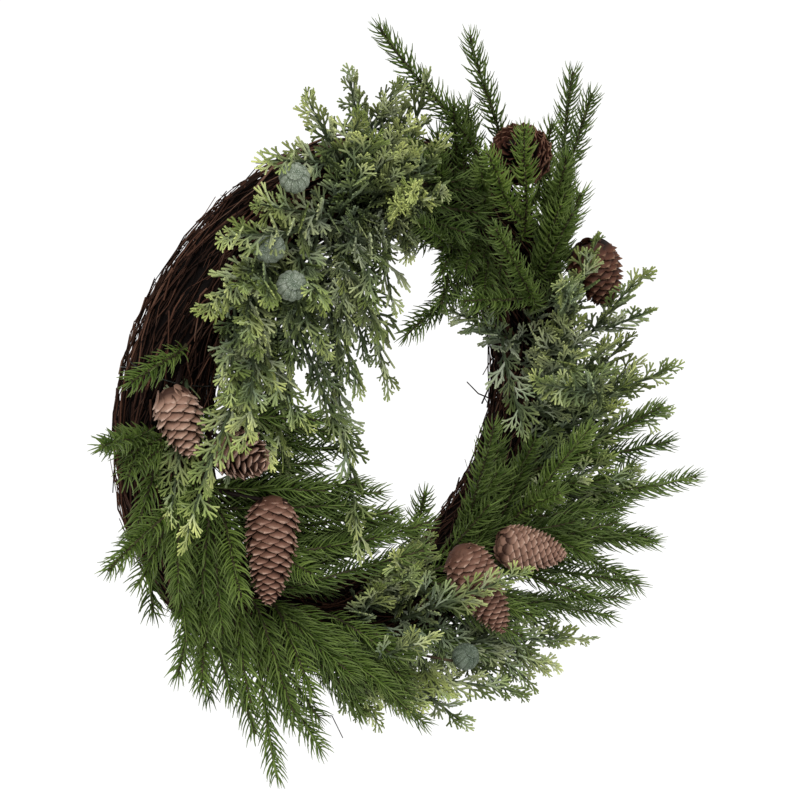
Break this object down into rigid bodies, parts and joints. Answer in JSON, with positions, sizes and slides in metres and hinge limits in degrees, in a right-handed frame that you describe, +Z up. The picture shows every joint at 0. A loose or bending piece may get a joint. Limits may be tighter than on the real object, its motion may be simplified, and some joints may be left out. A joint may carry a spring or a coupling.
{
  "type": "christmas wreath",
  "caption": "Twig ring tied with wire and dressed with artificial pine and cedar picks, cones and seed pods, hung flat on a door",
  "frame": {"origin": "the place where a door hook carries the wreath: the inner top of the twig ring, half way through its depth", "axes": "+Z up, -Y the dressed front, +Y into the door, +X to the right seen from the front"},
  "size_m": [0.6522, 0.1765, 0.6376],
  "materials": {
    "twig": "dry dark brown twigs",
    "binding_wire": "dark annealed wire",
    "cone_pale": "dry pinkish brown scales",
    "cone_dark": "dark red-brown scales with lighter rims",
    "seed_pod": "frosted grey-green",
    "pine": "moulded green needles",
    "cedar": "grey-green with yellow-green tips"
  },
  "bodies": {
    "root": {"twig_ring": "twig", "binding_wire_1": "binding_wire", "binding_wire_2": "binding_wire", "binding_wire_3": "binding_wire", "cone_hanging": "cone_pale", "cone_left_high": "cone_pale", "cone_left_low": "cone_pale", "cone_low_long": "cone_pale", "cone_low_smooth": "cone_pale", "cone_right_dark": "cone_dark", "cone_top_dark": "cone_dark", "pod_high": "seed_pod", "pod_low": "seed_pod", "pod_lower": "seed_pod", "pod_middle": "seed_pod", "pine_hole_1": "pine", "pine_hole_2": "pine", "pine_inner_1": "pine", "pine_inner_2": "pine", "pine_inner_3": "pine", "pine_left_1": "pine", "pine_left_2": "pine", "pine_left_3": "pine", "pine_left_4": "pine", "pine_left_5": "pine", "pine_left_6": "pine", "pine_left_7": "pine", "pine_left_8": "pine", "pine_low_1": "pine", "pine_low_2": "pine", "pine_right_1": "pine", "pine_right_2": "pine", "pine_right_3": "pine", "pine_side_1": "pine", "pine_side_2": "pine", "pine_side_3": "pine", "pine_side_4": "pine", "pine_side_5": "pine", "pine_side_6": "pine", "pine_side_7": "pine", "pine_top_1": "pine", "pine_top_2": "pine", "pine_top_3": "pine", "pine_top_4": "pine", "cedar_hole_1": "cedar", "cedar_hole_2": "cedar", "cedar_left_1": "cedar", "cedar_left_2": "cedar", "cedar_low_1": "cedar", "cedar_low_2": "cedar", "cedar_low_3": "cedar", "cedar_low_4": "cedar", "cedar_right_1": "cedar", "cedar_right_2": "cedar", "cedar_right_3": "cedar", "cedar_right_4": "cedar", "cedar_top_1": "cedar", "cedar_top_2": "cedar", "cedar_top_3": "cedar", "cedar_top_4": "cedar"}
  },
  "joints": []
}
